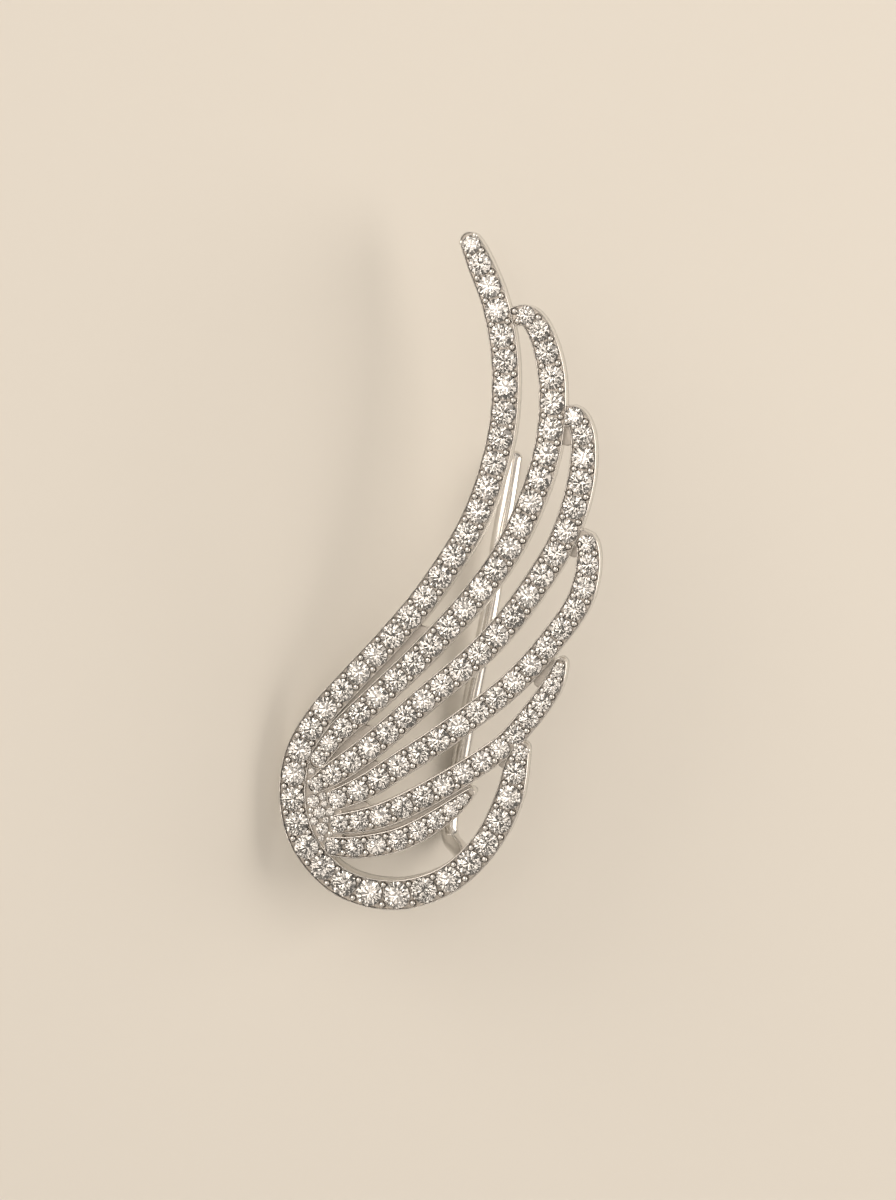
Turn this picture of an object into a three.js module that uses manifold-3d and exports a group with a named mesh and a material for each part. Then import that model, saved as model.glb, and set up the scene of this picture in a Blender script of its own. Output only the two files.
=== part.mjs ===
// Ear climber: an openwork wing of six stone-set bands, with a bent ear wire soldered to its back.
// Units are millimetres. The wing is drawn in its own plane: x across it, y up it and z out of its
// front, with z = 0 on its flat back. At the end the jewel is turned to the way that it lies by
// itself on a table, front up, with +Z up and the wing's length along +Y.

import * as THREE from 'three';
import { ConvexHull } from 'three/addons/math/ConvexHull.js';
import { mergeVertices } from 'three/addons/utils/BufferGeometryUtils.js';
import Module from 'manifold-3d';

const wasm = await Module();
wasm.setup();

// Driving dimensions
const RAIL_DEPTH = 0.8; // cast rail of a band, from the back face
const WEB_DEPTH = 0.4; // recessed metal between two bands
const SEAT_GAP = 0.05; // between a rail and the setting strip that sits on it
const STRIP_DEPTH = 0.5; // setting strip that holds a row's stones
const SIDE_GAP = 0.1; // between the setting strips of neighbouring rows
const RIM = 0.08; // metal left on each side of a stone
const BEAD_GAP = 0.05; // least space between two stones
const TABLE_RATIO = 0.58; // table width to stone diameter
const CROWN_RATIO = 0.17; // crown height to stone diameter
const CROWN_SEAT = 0.05; // how deep a stone's girdle lies below the strip's face
const STONE_FACETS = 8; // crown facets round a table
const WIRE_RADIUS = 0.45;
const WIRE_SIDES = 12;
const WIRE_STEPS = 34;
const SECTION_STEP = 0.62; // between two sections of a band
const END_ANGLES = [0.35, 0.8, 1.2]; // sections of a band's round end, as angles of a quarter circle
const INNER_LIMIT = 0.85; // largest half width on the inside of a bend, as a share of its radius

const STRIP_LOW = RAIL_DEPTH + SEAT_GAP;
const STRIP_HIGH = STRIP_LOW + STRIP_DEPTH;

// Each row is a centreline with the band's width w along it, listed from the wing's upper edge down.
// first and last are how far the first and last stones' centres lie from the row's two ends.
const ROWS = {
  pave_leading_edge: {
    first: 0.7,
    last: 0.62,
    path: [
      { x: 3.42, y: 33.08, w: 0.8 },
      { x: 3.8, y: 32.4, w: 1.1 },
      { x: 4.15, y: 31.6, w: 1.26 },
      { x: 4.84, y: 29.86, w: 1.32 },
      { x: 5.28, y: 27.9, w: 1.35 },
      { x: 5.42, y: 25.96, w: 1.35 },
      { x: 5.17, y: 23.1, w: 1.35 },
      { x: 3.92, y: 19.2, w: 1.35 },
      { x: 1.68, y: 15.6, w: 1.35 },
      { x: -0.37, y: 13.15, w: 1.35 },
      { x: -2.2, y: 11.2, w: 1.33 },
      { x: -3.86, y: 9.3, w: 1.33 },
      { x: -4.9, y: 7.4, w: 1.33 },
      { x: -5.15, y: 5.05, w: 1.34 },
      { x: -4.5, y: 2.95, w: 1.38 },
      { x: -2.65, y: 1.12, w: 1.44 },
      { x: 0, y: 0.58, w: 1.5 },
      { x: 2.5, y: 1.35, w: 1.42 },
      { x: 4.45, y: 3.2, w: 1.38 },
      { x: 5.6, y: 5.5, w: 1.36 },
      { x: 6.02, y: 7.3, w: 1.12 },
      { x: 6.35, y: 8.25, w: 0.6 },
    ],
  },
  pave_feather_2: {
    first: 0.95,
    last: 0.55,
    path: [
      { x: 5.5, y: 28.9, w: 1 },
      { x: 6.35, y: 29.1, w: 1.05 },
      { x: 6.9, y: 28.65, w: 1.15 },
      { x: 7.65, y: 26.35, w: 1.33 },
      { x: 7.5, y: 22.7, w: 1.33 },
      { x: 5.9, y: 18.3, w: 1.33 },
      { x: 4.1, y: 15.6, w: 1.33 },
      { x: 1.4, y: 12.6, w: 1.33 },
      { x: -1.1, y: 10.2, w: 1.3 },
      { x: -2.95, y: 8.5, w: 1.1 },
      { x: -4.15, y: 6.85, w: 0.85 },
    ],
  },
  pave_feather_3: {
    first: 0.95,
    last: 0.5,
    path: [
      { x: 7.9, y: 24, w: 1 },
      { x: 8.7, y: 24.25, w: 1.05 },
      { x: 9.15, y: 23.55, w: 1.15 },
      { x: 9.15, y: 21.3, w: 1.33 },
      { x: 8.35, y: 18.5, w: 1.33 },
      { x: 7.05, y: 16.2, w: 1.33 },
      { x: 4.7, y: 13.15, w: 1.33 },
      { x: 1.3, y: 10.15, w: 1.3 },
      { x: -1.45, y: 7.75, w: 1.28 },
      { x: -3.2, y: 6.5, w: 1.15 },
      { x: -4.35, y: 5.75, w: 0.7 },
    ],
  },
  pave_feather_4: {
    first: 0.8,
    last: 0.55,
    path: [
      { x: 8.75, y: 18.15, w: 0.95 },
      { x: 9.3, y: 18.2, w: 1 },
      { x: 9.5, y: 17.5, w: 1.15 },
      { x: 9.15, y: 15.45, w: 1.25 },
      { x: 7.65, y: 13.2, w: 1.25 },
      { x: 5.7, y: 11.05, w: 1.25 },
      { x: 2.55, y: 8.6, w: 1.28 },
      { x: 0.45, y: 7.2, w: 1.28 },
      { x: -1.55, y: 5.9, w: 1.25 },
      { x: -3.4, y: 5.1, w: 1 },
    ],
  },
  pave_feather_5: {
    first: 0.75,
    last: 0.5,
    path: [
      { x: 8.2, y: 12.45, w: 0.5 },
      { x: 8.1, y: 11.98, w: 0.72 },
      { x: 7.8, y: 11.18, w: 0.97 },
      { x: 7.23, y: 10.27, w: 1.1 },
      { x: 6.49, y: 9.31, w: 1.14 },
      { x: 5.54, y: 8.24, w: 1.13 },
      { x: 4.68, y: 7.55, w: 1.17 },
      { x: 2.35, y: 6.05, w: 1.25 },
      { x: -0.75, y: 4.5, w: 1.22 },
      { x: -3.3, y: 3.98, w: 0.95 },
    ],
  },
  pave_feather_6: {
    first: 0.85,
    last: 0.5,
    path: [
      { x: 3.88, y: 5.9, w: 0.36 },
      { x: 3.3, y: 5.35, w: 0.72 },
      { x: 2.2, y: 4.46, w: 1.04 },
      { x: 0.25, y: 3.38, w: 1.16 },
      { x: -1.95, y: 2.92, w: 1.12 },
      { x: -3.6, y: 2.97, w: 0.9 },
    ],
  },
  pave_junction: {
    first: 0.45,
    last: 0.45,
    path: [
      { x: -3.95, y: 5.25, w: 0.8 },
      { x: -3.82, y: 4.5, w: 0.9 },
      { x: -3.5, y: 3.3, w: 0.85 },
    ],
  },
};

// Recessed webs that close the narrow ends of the gaps, each a centreline with its width w.
const WEBS = {
  rows_1_and_2_foot: [
    { x: 1.5, y: 13.75, w: 0.7 },
    { x: 0, y: 12.35, w: 0.9 },
    { x: -2.35, y: 9.95, w: 0.8 },
    { x: -4.15, y: 8, w: 0.9 },
  ],
  rows_2_and_3_top: [
    { x: 8.3, y: 23.9, w: 0.8 },
    { x: 8.4, y: 22.75, w: 0.7 },
  ],
  rows_2_and_3_foot: [
    { x: -1.3, y: 8.8, w: 0.7 },
    { x: -2, y: 8.15, w: 0.8 },
    { x: -3.45, y: 6.9, w: 0.9 },
  ],
  rows_3_and_4_top: [
    { x: 8.8, y: 18.2, w: 0.85 },
    { x: 8.71, y: 17.3, w: 0.55 },
  ],
  rows_3_and_4_foot: [
    { x: -0.95, y: 7.05, w: 0.7 },
    { x: -2.2, y: 6, w: 0.85 },
    { x: -3.45, y: 5.15, w: 1.1 },
  ],
  rows_4_and_5_top: [
    { x: 7.85, y: 12.25, w: 0.5 },
    { x: 7.3, y: 11.5, w: 0.75 },
    { x: 6.85, y: 10.95, w: 0.5 },
  ],
  rows_4_and_5_foot: [
    { x: -1.4, y: 4.9, w: 0.6 },
    { x: -2.45, y: 4.55, w: 0.8 },
    { x: -3.6, y: 4.15, w: 0.9 },
  ],
  rows_5_and_6: [
    { x: 3.7, y: 5.95, w: 0.5 },
    { x: 2.2, y: 5.05, w: 0.7 },
    { x: 0.25, y: 4.05, w: 0.6 },
    { x: -1.7, y: 3.45, w: 0.7 },
    { x: -3.45, y: 3.45, w: 0.9 },
  ],
  loop_end: [
    { x: 5.08, y: 6.95, w: 0.45 },
    { x: 5.6, y: 7.5, w: 0.8 },
    { x: 6.25, y: 8.35, w: 0.55 },
  ],
  junction: [
    { x: -4.2, y: 8.35, w: 1.2 },
    { x: -4.15, y: 7.4, w: 1.7 },
    { x: -4.15, y: 6.05, w: 2 },
    { x: -3.8, y: 4.25, w: 2.2 },
    { x: -3.3, y: 2.85, w: 1.6 },
  ],
};

// The ear wire leaves the back of the lower loop, turns up behind the wing and flares to a free end.
const WIRE = [
  { x: 3.28, y: 1.8, z: 0.3 },
  { x: 3.26, y: 1.75, z: -0.7 },
  { x: 3, y: 1.75, z: -2.3 },
  { x: 2.45, y: 2.15, z: -3.9 },
  { x: 1.85, y: 2.65, z: -4.75 },
  { x: 1.77, y: 3.92, z: -5.1 },
  { x: 2.07, y: 5.32, z: -5.15 },
  { x: 2.43, y: 7.39, z: -5.1 },
  { x: 3, y: 10.31, z: -5 },
  { x: 3.83, y: 14.33, z: -4.9 },
  { x: 4.32, y: 17.76, z: -5 },
  { x: 4.69, y: 20.03, z: -5.35 },
  { x: 4.94, y: 22.21, z: -6.1 },
];

/** Solid of a closed geometry. */
function solid(geometry) {
  geometry.deleteAttribute('normal');
  geometry.deleteAttribute('uv');
  const merged = mergeVertices(geometry, 1e-4);
  const vertProperties = new Float32Array(merged.attributes.position.array);
  const triVerts = new Uint32Array(merged.index.array);
  return new wasm.Manifold(new wasm.Mesh({ numProp: 3, vertProperties, triVerts }));
}

/** Geometry of a solid. */
function geometryOf(shape) {
  const { vertProperties, triVerts } = shape.getMesh();
  const geometry = new THREE.BufferGeometry();
  geometry.setAttribute('position', new THREE.BufferAttribute(vertProperties, 3));
  geometry.setIndex(new THREE.BufferAttribute(triVerts, 1));
  geometry.computeVertexNormals();
  return geometry;
}

function join(shapes) {
  return shapes.reduce((whole, shape) => whole.add(shape));
}

/** Smooth curve through a table's rows, whose third coordinate carries the band's width. */
function centreline(table) {
  const points = table.map(({ x, y, w }) => new THREE.Vector3(x, y, w));
  const curve = new THREE.CatmullRomCurve3(points, false, 'centripetal');
  curve.arcLengthDivisions = 40 * points.length;
  return curve;
}

/** Place, direction and half width of a band at each of its sections, from end to end. */
function bandSections(curve) {
  const length = curve.getLength();
  const radius = curve.getPointAt(0).z / 2;
  const endRadius = Math.min(radius, length / 3);
  const start = END_ANGLES.map((angle) => endRadius * (1 - Math.cos(angle)));
  const straight = length - 2 * endRadius;
  const count = Math.ceil(straight / SECTION_STEP);
  const middle = Array.from({ length: count + 1 }, (_, i) => endRadius + (straight * i) / count);
  const distances = [...start, ...middle, ...start.map((s) => length - s).reverse()];
  const sections = distances.map((s) => {
    const point = curve.getPointAt(s / length);
    const tangent = curve.getTangentAt(s / length);
    const fromEnd = Math.min(s, length - s, endRadius) / endRadius;
    return {
      s,
      x: point.x,
      y: point.y,
      heading: Math.atan2(tangent.y, tangent.x),
      half: (point.z / 2) * Math.sqrt(1 - (1 - fromEnd) ** 2),
    };
  });
  return sections;
}

/** How fast a band turns to its left at a section, in radians per millimetre. */
function bend(sections, i) {
  const before = sections[Math.max(i - 1, 0)];
  const after = sections[Math.min(i + 1, sections.length - 1)];
  const turn = after.heading - before.heading;
  return Math.atan2(Math.sin(turn), Math.cos(turn)) / (after.s - before.s);
}

/** Band along a centreline, flat on both faces, from height low to height high. */
function band(curve, low, high, grow = 0) {
  const sections = bandSections(curve);
  const positions = sections.flatMap(({ x, y, heading, half }, i) => {
    const curvature = bend(sections, i);
    const limit = INNER_LIMIT / Math.max(Math.abs(curvature), 1e-6);
    const left = curvature > 0 ? Math.min(half + grow, limit) : half + grow;
    const right = curvature < 0 ? Math.min(half + grow, limit) : half + grow;
    const [sideX, sideY] = [-Math.sin(heading), Math.cos(heading)];
    const [rightX, rightY] = [x - sideX * right, y - sideY * right];
    const [leftX, leftY] = [x + sideX * left, y + sideY * left];
    return [rightX, rightY, low, rightX, rightY, high, leftX, leftY, high, leftX, leftY, low];
  });
  const index = [0, 1, 2, 0, 2, 3];
  for (let i = 0; i < sections.length - 1; i++) {
    for (let k = 0; k < 4; k++) {
      const [a, b] = [4 * i + k, 4 * i + ((k + 1) % 4)];
      index.push(a, a + 4, b + 4, a, b + 4, b);
    }
  }
  const end = 4 * (sections.length - 1);
  index.push(end, end + 3, end + 2, end, end + 2, end + 1);
  const geometry = new THREE.BufferGeometry();
  geometry.setAttribute('position', new THREE.Float32BufferAttribute(positions, 3));
  geometry.setIndex(index);
  return solid(geometry);
}

/** Stones of a row: each fills the band between its rims and the next follows past a small gap, and
 * then all are spread evenly so that the last one lies in its place. */
function stoneSites({ path, first, last }) {
  const curve = centreline(path);
  const length = curve.getLength();
  const diameterAt = (s) => curve.getPointAt(s / length).z - 2 * RIM;
  const stops = [first];
  for (;;) {
    const s = stops[stops.length - 1];
    const next = s + (diameterAt(s) + diameterAt(Math.min(s + 1, length))) / 2 + BEAD_GAP;
    if (next > length - last) break;
    stops.push(next);
  }
  const spread = stops.length > 1 ? (length - last - first) / (stops[stops.length - 1] - first) : 1;
  return stops.map((stop) => {
    const s = first + (stop - first) * spread;
    const point = curve.getPointAt(s / length);
    const tangent = curve.getTangentAt(s / length);
    return { x: point.x, y: point.y, diameter: diameterAt(s), heading: Math.atan2(tangent.y, tangent.x) };
  });
}

/** Crown of a round brilliant: a flat table and a ring of facets down to the girdle. */
function crown({ x, y, diameter, heading }) {
  const height = diameter * CROWN_RATIO + CROWN_SEAT;
  const tableRadius = (diameter / 2) * TABLE_RATIO;
  const geometry = new THREE.CylinderGeometry(tableRadius, diameter / 2, height, STONE_FACETS);
  geometry.rotateX(Math.PI / 2);
  geometry.rotateZ(heading);
  geometry.translate(x, y, STRIP_HIGH - CROWN_SEAT + height / 2);
  return solid(geometry);
}

/** Ear wire: a round wire along its route, with a ball-shaped free end. */
function earWire() {
  const route = new THREE.CatmullRomCurve3(WIRE.map(({ x, y, z }) => new THREE.Vector3(x, y, z)), false, 'centripetal');
  const circle = new THREE.Shape(
    Array.from({ length: WIRE_SIDES }, (_, i) => {
      const angle = (2 * Math.PI * i) / WIRE_SIDES;
      return new THREE.Vector2(WIRE_RADIUS * Math.cos(angle), WIRE_RADIUS * Math.sin(angle));
    }),
  );
  const wire = new THREE.ExtrudeGeometry(circle, { steps: WIRE_STEPS, extrudePath: route });
  const tip = new THREE.SphereGeometry(WIRE_RADIUS, WIRE_SIDES, WIRE_SIDES / 2);
  const end = WIRE[WIRE.length - 1];
  tip.translate(end.x, end.y, end.z);
  return solid(wire).add(solid(tip));
}

/** The cast rails and webs with the soldered wire, in one piece of metal. */
function frame() {
  const rails = Object.values(ROWS).map(({ path }) => band(centreline(path), 0, RAIL_DEPTH));
  const webs = Object.values(WEBS).map((path) => band(centreline(path), 0, WEB_DEPTH));
  return join([...rails, ...webs, earWire()]);
}

/** Each row's setting strip, trimmed clear of the rows before it, with its stones fused to it. */
function paveRows() {
  const cutters = [];
  return Object.entries(ROWS).map(([name, row]) => {
    const curve = centreline(row.path);
    const strip = cutters.reduce(
      (rest, cutter) => rest.subtract(cutter),
      band(curve, STRIP_LOW, STRIP_HIGH),
    );
    cutters.push(band(curve, 0, STRIP_HIGH + STRIP_DEPTH, SIDE_GAP));
    return { name, shape: join([strip, ...stoneSites(row).map(crown)]) };
  });
}

/** Centre of mass of closed geometries, summed over the tetrahedra under their triangles. */
function massCentre(geometries) {
  const [a, b, c] = [new THREE.Vector3(), new THREE.Vector3(), new THREE.Vector3()];
  const moment = new THREE.Vector3();
  let volume = 0;
  for (const { attributes, index } of geometries) {
    for (let i = 0; i < index.count; i += 3) {
      a.fromBufferAttribute(attributes.position, index.getX(i));
      b.fromBufferAttribute(attributes.position, index.getX(i + 1));
      c.fromBufferAttribute(attributes.position, index.getX(i + 2));
      const part = a.dot(new THREE.Vector3().crossVectors(b, c)) / 6;
      moment.addScaledVector(a.clone().add(b).add(c), part / 4);
      volume += part;
    }
  }
  return moment.divideScalar(volume);
}

/** Corners of a triangular hull face. */
function corners(face) {
  return [face.edge, face.edge.next, face.edge.prev].map((edge) => edge.head().point);
}

/** Shortest distance from a point in a triangle's plane to the triangle's edges. */
function edgeMargin(point, [a, b, c]) {
  const distances = [new THREE.Line3(a, b), new THREE.Line3(b, c), new THREE.Line3(c, a)].map((side) =>
    side.closestPointToPoint(point, true, new THREE.Vector3()).distanceTo(point),
  );
  return Math.min(...distances);
}

/** Outward normal of the face at the back that the jewel rests on most firmly: the centre of mass
 * lies over it, as far as can be from its edges. */
function restingNormal(geometries) {
  const points = geometries.flatMap(({ attributes: { position } }) =>
    Array.from({ length: position.count }, (_, i) => new THREE.Vector3().fromBufferAttribute(position, i)),
  );
  const centre = massCentre(geometries);
  const candidates = new ConvexHull().setFromPoints(points).faces.flatMap((face) => {
    const triangle = corners(face);
    const under = centre.clone().addScaledVector(face.normal, -face.distanceToPoint(centre));
    const carries = face.normal.z < 0 && new THREE.Triangle(...triangle).containsPoint(under);
    return carries ? [{ normal: face.normal, margin: edgeMargin(under, triangle) }] : [];
  });
  candidates.sort((a, b) => b.margin - a.margin);
  return candidates[0].normal;
}

const silver = new THREE.MeshStandardMaterial({ color: 0xd8dadd, metalness: 1, roughness: 0.12 });
const zirconia = new THREE.MeshStandardMaterial({ color: 0xf1f3f6, metalness: 0.1, roughness: 0.05 });

function mesh(name, shape, material) {
  const piece = new THREE.Mesh(geometryOf(shape), material);
  piece.name = name;
  return piece;
}

const wing = new THREE.Group();
wing.add(mesh('wing_frame_with_ear_wire', frame(), silver));
for (const { name, shape } of paveRows()) wing.add(mesh(name, shape, zirconia));

// Turn the wing so that its resting face is level and its length runs along +Y.
const up = restingNormal(wing.children.map((piece) => piece.geometry)).negate();
const along = new THREE.Vector3(0, 1, 0).addScaledVector(up, -up.y).normalize();
const across = new THREE.Vector3().crossVectors(along, up);
wing.setRotationFromMatrix(new THREE.Matrix4().makeBasis(across, along, up).transpose());

// Set it on z = 0 with the middle of its box over the origin.
const earClimber = new THREE.Group();
earClimber.add(wing);
const box = new THREE.Box3().setFromObject(earClimber, true);
const middle = box.getCenter(new THREE.Vector3());
wing.position.set(-middle.x, -middle.y, -box.min.z);

export default earClimber;
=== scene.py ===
# %% [markdown]
# # Ear climber: an openwork wing set with stones
# The jewel is a flat silver casting of six curved bands that run together in a loop at the foot.
# Every band carries one row of small round stones, held by beads of silver, and a bent wire behind
# the wing holds it to the ear. All sizes are in millimetres in the wing's own plane: x across it,
# y up it and z out of its front, with z = 0 on the flat back. The last step of every piece turns it
# to the way that the jewel lies on a table.

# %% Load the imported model, which fixes every place and size
from math import ceil, radians

import bmesh
import bpy
import numpy as np
from mathutils import Matrix


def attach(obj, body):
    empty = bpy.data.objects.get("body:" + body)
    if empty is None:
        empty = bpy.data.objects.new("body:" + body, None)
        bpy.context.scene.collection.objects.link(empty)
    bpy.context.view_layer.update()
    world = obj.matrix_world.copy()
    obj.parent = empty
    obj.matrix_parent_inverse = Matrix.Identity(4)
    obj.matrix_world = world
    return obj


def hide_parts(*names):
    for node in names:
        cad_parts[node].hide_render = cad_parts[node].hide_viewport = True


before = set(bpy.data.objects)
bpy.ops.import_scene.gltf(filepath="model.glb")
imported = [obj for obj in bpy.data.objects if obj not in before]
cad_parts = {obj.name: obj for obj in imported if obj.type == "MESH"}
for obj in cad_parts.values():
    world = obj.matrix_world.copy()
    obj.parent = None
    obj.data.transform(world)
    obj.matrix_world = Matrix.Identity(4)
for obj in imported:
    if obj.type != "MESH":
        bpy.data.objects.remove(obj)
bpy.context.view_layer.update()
MM = 0.001
print("nodes:", ", ".join(sorted(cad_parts)))

# %% [markdown]
# ## From the wing's plane to the table
# The jewel lies on its left edge and on two points of the wire, so its front faces up and to the
# left. Two turns say this: the wing rolls about its length, and its foot rises a little. The origin
# is where the wing's x = y = z = 0 comes to lie.

# %% Turn and place of the wing
ROLL, PITCH = radians(-35.9393), radians(-3.3003)
ORIGIN = np.array([-1.3237, -16.5418, 3.7614])


def turn_x(angle):
    """Matrix of a turn about x: y -> (0, cos a, sin a)."""
    c, s = np.cos(angle), np.sin(angle)
    return np.array([[1, 0, 0], [0, c, -s], [0, s, c]])


def turn_y(angle):
    """Matrix of a turn about y: z -> (sin a, 0, cos a)."""
    c, s = np.cos(angle), np.sin(angle)
    return np.array([[c, 0, s], [0, 1, 0], [-s, 0, c]])


def turn_z(angle):
    """Matrix of a turn about z: x -> (cos a, sin a, 0)."""
    c, s = np.cos(angle), np.sin(angle)
    return np.array([[c, -s, 0], [s, c, 0], [0, 0, 1]])


WING = turn_x(PITCH) @ turn_y(ROLL)


def on_table(points):
    """Wing points in millimetres to the table's frame in metres: p -> (R p + origin) / 1000."""
    return (np.asarray(points) @ WING.T + ORIGIN) * MM


print("front of the wing faces", np.round(WING[:, 2], 4))

# %% [markdown]
# ## The rows
# A band is a smooth centreline with a width that changes along it, so a row of numbers here is x, y
# and the band's width. The leading edge runs from the wing's tip down to the foot and round the
# loop, and each feather starts at the outer side of the one before it. The webs, which close the
# narrow ends of the gaps between the bands, are given in the same way. `first` and `last` are the
# distances of a row's outermost stones from its ends.

# %% Centrelines of the stone-set rows: x, y, width
ROWS = {
    "pave_leading_edge": dict(first=0.7, last=0.62, path=[
        (3.42, 33.08, 0.8), (3.8, 32.4, 1.1), (4.15, 31.6, 1.26), (4.84, 29.86, 1.32),
        (5.28, 27.9, 1.35), (5.42, 25.96, 1.35), (5.17, 23.1, 1.35), (3.92, 19.2, 1.35),
        (1.68, 15.6, 1.35), (-0.37, 13.15, 1.35), (-2.2, 11.2, 1.33), (-3.86, 9.3, 1.33),
        (-4.9, 7.4, 1.33), (-5.15, 5.05, 1.34), (-4.5, 2.95, 1.38), (-2.65, 1.12, 1.44),
        (0, 0.58, 1.5), (2.5, 1.35, 1.42), (4.45, 3.2, 1.38), (5.6, 5.5, 1.36), (6.02, 7.3, 1.12),
        (6.35, 8.25, 0.6)]),
    "pave_feather_2": dict(first=0.95, last=0.55, path=[
        (5.5, 28.9, 1), (6.35, 29.1, 1.05), (6.9, 28.65, 1.15), (7.65, 26.35, 1.33),
        (7.5, 22.7, 1.33), (5.9, 18.3, 1.33), (4.1, 15.6, 1.33), (1.4, 12.6, 1.33),
        (-1.1, 10.2, 1.3), (-2.95, 8.5, 1.1), (-4.15, 6.85, 0.85)]),
    "pave_feather_3": dict(first=0.95, last=0.5, path=[
        (7.9, 24, 1), (8.7, 24.25, 1.05), (9.15, 23.55, 1.15), (9.15, 21.3, 1.33),
        (8.35, 18.5, 1.33), (7.05, 16.2, 1.33), (4.7, 13.15, 1.33), (1.3, 10.15, 1.3),
        (-1.45, 7.75, 1.28), (-3.2, 6.5, 1.15), (-4.35, 5.75, 0.7)]),
    "pave_feather_4": dict(first=0.8, last=0.55, path=[
        (8.75, 18.15, 0.95), (9.3, 18.2, 1), (9.5, 17.5, 1.15), (9.15, 15.45, 1.25),
        (7.65, 13.2, 1.25), (5.7, 11.05, 1.25), (2.55, 8.6, 1.28), (0.45, 7.2, 1.28),
        (-1.55, 5.9, 1.25), (-3.4, 5.1, 1)]),
    "pave_feather_5": dict(first=0.75, last=0.5, path=[
        (8.2, 12.45, 0.5), (8.1, 11.98, 0.72), (7.8, 11.18, 0.97), (7.23, 10.27, 1.1),
        (6.49, 9.31, 1.14), (5.54, 8.24, 1.13), (4.68, 7.55, 1.17), (2.35, 6.05, 1.25),
        (-0.75, 4.5, 1.22), (-3.3, 3.98, 0.95)]),
    "pave_feather_6": dict(first=0.85, last=0.5, path=[
        (3.88, 5.9, 0.36), (3.3, 5.35, 0.72), (2.2, 4.46, 1.04), (0.25, 3.38, 1.16),
        (-1.95, 2.92, 1.12), (-3.6, 2.97, 0.9)]),
}

# %% Recessed webs that close the narrow ends of the gaps: x, y, width
WEBS = {
    "rows_1_and_2_foot": [
        (1.5, 13.75, 0.7), (0, 12.35, 0.9), (-2.35, 9.95, 0.8), (-4.15, 8, 0.9)],
    "rows_2_and_3_top": [
        (8.3, 23.9, 0.8), (8.4, 22.75, 0.7)],
    "rows_2_and_3_foot": [
        (-1.3, 8.8, 0.7), (-2, 8.15, 0.8), (-3.45, 6.9, 0.9)],
    "rows_3_and_4_top": [
        (8.8, 18.2, 0.85), (8.71, 17.3, 0.55)],
    "rows_3_and_4_foot": [
        (-0.95, 7.05, 0.7), (-2.2, 6, 0.85), (-3.45, 5.15, 1.1)],
    "rows_4_and_5_top": [
        (7.85, 12.25, 0.5), (7.3, 11.5, 0.75), (6.85, 10.95, 0.5)],
    "rows_4_and_5_foot": [
        (-1.4, 4.9, 0.6), (-2.45, 4.55, 0.8), (-3.6, 4.15, 0.9)],
    "rows_5_and_6": [
        (3.7, 5.95, 0.5), (2.2, 5.05, 0.7), (0.25, 4.05, 0.6), (-1.7, 3.45, 0.7), (-3.45, 3.45, 0.9)],
    "loop_end": [
        (5.08, 6.95, 0.45), (5.6, 7.5, 0.8), (6.25, 8.35, 0.55)],
    "junction": [
        (-4.2, 8.35, 1.2), (-4.15, 7.4, 1.7), (-4.15, 6.05, 2), (-3.8, 4.25, 2.2), (-3.3, 2.85, 1.6)],
}


# %% [markdown]
# ## A smooth line through few points
# A centripetal Catmull-Rom curve passes through every point without loops or overshoot, also where
# the points are unevenly spaced, so a feather's tight tip and its long sweep need no extra points.


# %% Curve and its arc length
def smooth(points, per_span=60):
    """Points close together on the centripetal Catmull-Rom curve through a few points.

    Between points p1 and p2, with knot spans d = sqrt(distance), it is the cubic
    (2u³-3u²+1) p1 + (u³-2u²+u) m1 + (3u²-2u³) p2 + (u³-u²) m2,
    m1 = d1 ((p1-p0)/d0 - (p2-p0)/(d0+d1) + (p2-p1)/d1), and m2 the same one point on.
    """
    points = np.asarray(points, float)
    ends = 2 * points[[0, -1]] - points[[1, -2]]
    p = np.vstack([ends[:1], points, ends[1:]])
    d = np.sqrt(np.linalg.norm(np.diff(p, axis=0), axis=1))[:, None]
    d0, d1, d2 = d[:-2], d[1:-1], d[2:]
    p0, p1, p2, p3 = p[:-3], p[1:-2], p[2:-1], p[3:]
    m1 = d1 * ((p1 - p0) / d0 - (p2 - p0) / (d0 + d1) + (p2 - p1) / d1)
    m2 = d1 * ((p2 - p1) / d1 - (p3 - p1) / (d1 + d2) + (p3 - p2) / d2)
    u = np.linspace(0, 1, per_span, endpoint=False)[None, :, None]
    p1, p2, m1, m2 = (a[:, None] for a in (p1, p2, m1, m2))
    curve = (2 * u**3 - 3 * u**2 + 1) * p1 + (u**3 - 2 * u**2 + u) * m1
    curve = curve + (3 * u**2 - 2 * u**3) * p2 + (u**3 - u**2) * m2
    return np.vstack([curve.reshape(-1, p.shape[1]), points[-1:]])


def arc_length(curve):
    """Distance along a curve at each of its points: the sum of |p(i+1) - p(i)|."""
    return np.concatenate([[0], np.cumsum(np.linalg.norm(np.diff(curve, axis=0), axis=1))])


BEND_STEP, BEND_SAMPLES = 0.02, 15  # the bend is a mean over 15 samples, 0.3 mm of the line


def line_of(path):
    """A row's line: arc length s, and at each s the columns x, y, width, heading x, heading y, bend.

    The bend is the curvature dθ/ds of the heading θ, as a running mean.
    """
    curve = smooth(path)
    s = arc_length(curve)
    heading = np.unwrap(np.arctan2(np.gradient(curve[:, 1], s), np.gradient(curve[:, 0], s)))
    even = np.linspace(0, s[-1], ceil(s[-1] / BEND_STEP))
    turn = np.gradient(np.interp(even, s, heading), even)
    turn = np.pad(turn, BEND_SAMPLES // 2, mode="edge")
    turn = np.convolve(turn, np.ones(BEND_SAMPLES) / BEND_SAMPLES, mode="valid")
    bend = np.interp(s, even, turn)
    return s, np.column_stack([curve, np.cos(heading), np.sin(heading), bend])


def at(line, stops):
    """The line's columns, read at the arc lengths in stops: each column is interpolated in s."""
    s, columns = line
    stops = np.asarray(stops, float)
    return np.stack([np.interp(stops, s, column) for column in columns.T], axis=-1)


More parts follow.
